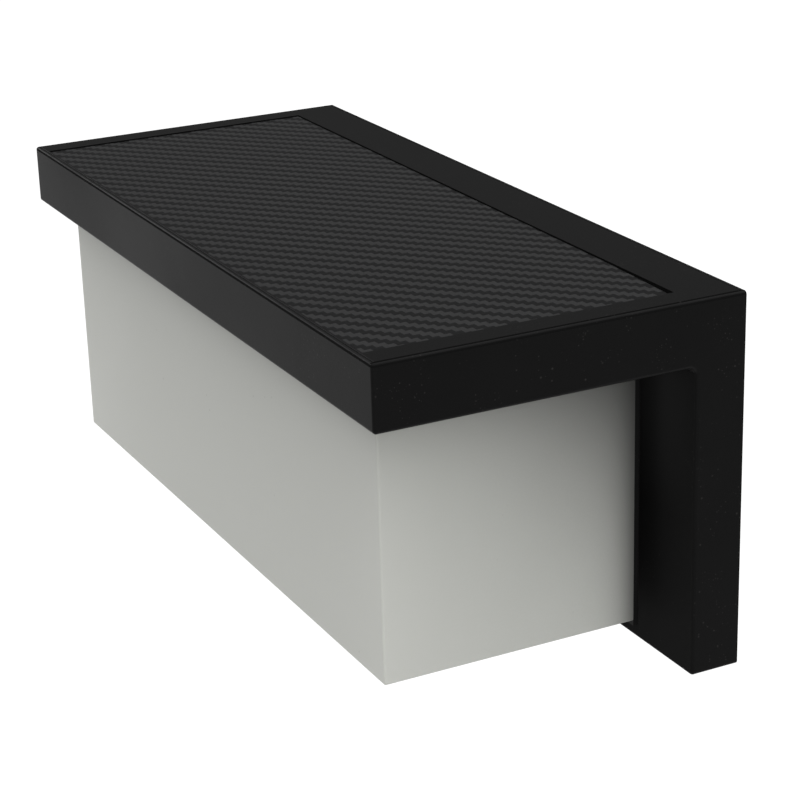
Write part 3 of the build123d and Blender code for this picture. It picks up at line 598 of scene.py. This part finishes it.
opal, nodes, shader = new_finish("opal", Specular_IOR_Level=0.2, Subsurface_Weight=0.25)
feed(nodes, shader["Subsurface Scale"], opal_depth)
feed(nodes, shader["Subsurface Radius"], opal_spread)
skin = use_effect(nodes, grain, Scale=1500.0, Clouds=30.0)
colour = blend(nodes, between(nodes, skin["Tone"], *mottle_span), opal_low, opal_high)
spot = axes(nodes)
inward = calc(nodes, "SUBTRACT", diffuser_high.x, calc(nodes, "ABSOLUTE", spot["X"]))
backward = calc(nodes, "SUBTRACT", spot["Y"], diffuser_low.y)
forward = calc(nodes, "SUBTRACT", diffuser_high.y, spot["Y"])
down = calc(nodes, "SUBTRACT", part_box("soffit_plate")[0].z, spot["Z"])
# Painted glow: lighter towards the front corners, less so just under the soffit
painted_glow = calc(nodes, "MULTIPLY", fading(nodes, inward, glow_reach), fading(nodes, backward, glow_depth))
painted_glow = calc(nodes, "MULTIPLY", painted_glow, calc(nodes, "SUBTRACT", 1.0, fading(nodes, down, glow_drop)))
colour = blend(nodes, painted_glow, colour, opal_painted_glow)
# Painted shade: darker towards the black back and up under the soffit and the slab above
roof_shadow = calc(nodes, "MULTIPLY", fading(nodes, down, roof_drop), fading(nodes, forward, roof_reach))
painted_shade = calc(nodes, "MULTIPLY", roof_shadow, roof_shade)
painted_shade = calc(nodes, "MULTIPLY_ADD", fading(nodes, forward, edge_reach), edge_shade, painted_shade)
colour = blend(nodes, fading(nodes, painted_shade, 1.0), opal_painted_shade, colour)
colour = blend(nodes, use_effect(nodes, dust, Share=0.05)["Mask"], colour, opal_speck)
feed(nodes, shader["Base Color"], colour)
feed(nodes, shader["Roughness"], between(nodes, skin["Tone"], *tone_span, *opal_roughness))
bump(nodes, shader, skin["Height"], opal_relief)
dress(opal, "diffuser")

# Diffuser back
# A black moulded plate that closes the box from behind, its lip a little below the box.
# Two screws through its flange hold it to the soffit.
dress(black_moulding, "diffuser_back")
dress(zinc, "diffuser_back_screws")

# Rear cover
# A flush black cover over the battery and the board, with the pocket that hooks over the bracket.
# A rubber seal lies on the inside of its border, and six sunk screws hold it.
dress(rubber, "rear_cover_seal")
dress(black_moulding, "rear_cover")
dress(zinc, "rear_cover_screws")

# Wall bracket
# A strip of zinc-plated steel, punched and pressed, with two screw holes in its web.
# Its flanges stand off the wall, and the lamp's pocket slides down over them.
dress(zinc, "wall_bracket")

# Floor
# A plain pale sheet well below the lamp, which hangs free of it. From below it can't be seen.
# The camera and mirrors see it a little lighter than the light that falls on it makes it.
floor_drop, floor_reach = 0.30, 12.0
floor_colour, floor_lift = (0.5, 0.5, 0.5), 0.47
sheet = bmesh.new()
bmesh.ops.create_grid(sheet, x_segments=1, y_segments=1, size=floor_reach)
bmesh.ops.translate(sheet, vec=(0, 0, cad_box[0].z - floor_drop), verts=sheet.verts)
floor_mesh = bpy.data.meshes.new("floor")
sheet.to_mesh(floor_mesh)
sheet.free()
floor = bpy.data.objects.new("floor", floor_mesh)
bpy.context.scene.collection.objects.link(floor)


def sight(tree):
    """1 for what the camera sees straight, and 1 for what it sees mirrored or through glass."""
    path = add(tree, "LightPath", {})
    return path["Is Camera Ray"], calc(tree, "MAXIMUM", path["Is Glossy Ray"], path["Is Transmission Ray"])


pale, nodes, shader = new_finish("pale_floor", Roughness=0.9, Specular_IOR_Level=0.0)
feed(nodes, shader["Base Color"], floor_colour)
feed(nodes, shader["Emission Color"], (1, 1, 1))
lift = calc(nodes, "MULTIPLY", calc(nodes, "MAXIMUM", *sight(nodes)), floor_lift)
feed(nodes, shader["Emission Strength"], lift)
clear = nodes.nodes.new("ShaderNodeBsdfTransparent")
one_way = nodes.nodes.new("ShaderNodeMixShader")
feed(nodes, one_way.inputs[0], add(nodes, "NewGeometry", {})["Backfacing"])
feed(nodes, one_way.inputs[1], nodes.nodes["Principled BSDF"].outputs[0])
feed(nodes, one_way.inputs[2], clear.outputs[0])
feed(nodes, nodes.nodes["Material Output"].inputs["Surface"], one_way.outputs[0])
floor_mesh.materials.append(pale)

# Studio light
# A white tent lit mostly from above, with a soft box at either side.
# The camera sees it white, and in mirrors its lower part is dark.
room_low, room_high = 0.515, 1.43
room_rise = 0.0, 0.9
mirror_low, mirror_high = 0.11, 1.5
mirror_rise = 0.3, 0.85
world = bpy.data.worlds.new("studio")
bpy.context.scene.world = world
world.use_nodes = True
nodes = world.node_tree
heading = add(nodes, "SeparateXYZ", {"Vector": add(nodes, "TexCoord", {})["Generated"]})
straight, mirrored = sight(nodes)
room = between(nodes, heading["Z"], *room_rise, room_low, room_high)
mirror = between(nodes, heading["Z"], *mirror_rise, mirror_low, mirror_high)
level = calc(nodes, "MULTIPLY_ADD", mirrored, calc(nodes, "SUBTRACT", mirror, room), room)
level = calc(nodes, "MAXIMUM", level, straight)
feed(nodes, nodes.nodes["Background"].inputs["Strength"], level)
feed(nodes, nodes.nodes["Background"].inputs["Color"], (1, 1, 1))

# Each box has its place, its width and its power in watts
lamp_middle = (cad_box[0] + cad_box[1]) / 2
for name, stand, width, power in (
    ("right_box", Vector((1.5, -0.45, 0.3)), 0.9, 6.2),
    ("left_box", Vector((-1.3, -0.5, 0.55)), 0.5, 2.6),
):
    light = bpy.data.lights.new(name, "AREA")
    light.size = width
    light.energy = power
    holder = bpy.data.objects.new(name, light)
    holder.location = stand
    holder.rotation_euler = (lamp_middle - stand).to_track_quat("-Z", "Y").to_euler()
    bpy.context.scene.collection.objects.link(holder)

# Camera
# It stands at the lamp's right front, a little above it, as in the photograph.
# Its place, aim, roll and lens were fitted to the lamp's straight edges in the photograph.
camera_place = Vector((517.2, -290.97, 199.65)) * mm
camera_aim = Vector((-0.83881, 0.41625, -0.35091))
camera_roll = math.radians(-1.719)
camera_sensor, camera_lens = 36.0, 103.0
camera = bpy.data.cameras.new("camera")
camera.sensor_width = camera_sensor
camera.lens = camera_lens
camera_holder = bpy.data.objects.new("camera", camera)
camera_holder.location = camera_place
camera_turn = camera_aim.to_track_quat("-Z", "Y") @ Euler((0, 0, camera_roll)).to_quaternion()
camera_holder.rotation_euler = camera_turn.to_euler()
bpy.context.scene.collection.objects.link(camera_holder)
bpy.context.scene.camera = camera_holder
bpy.context.scene.view_settings.view_transform = "Standard"
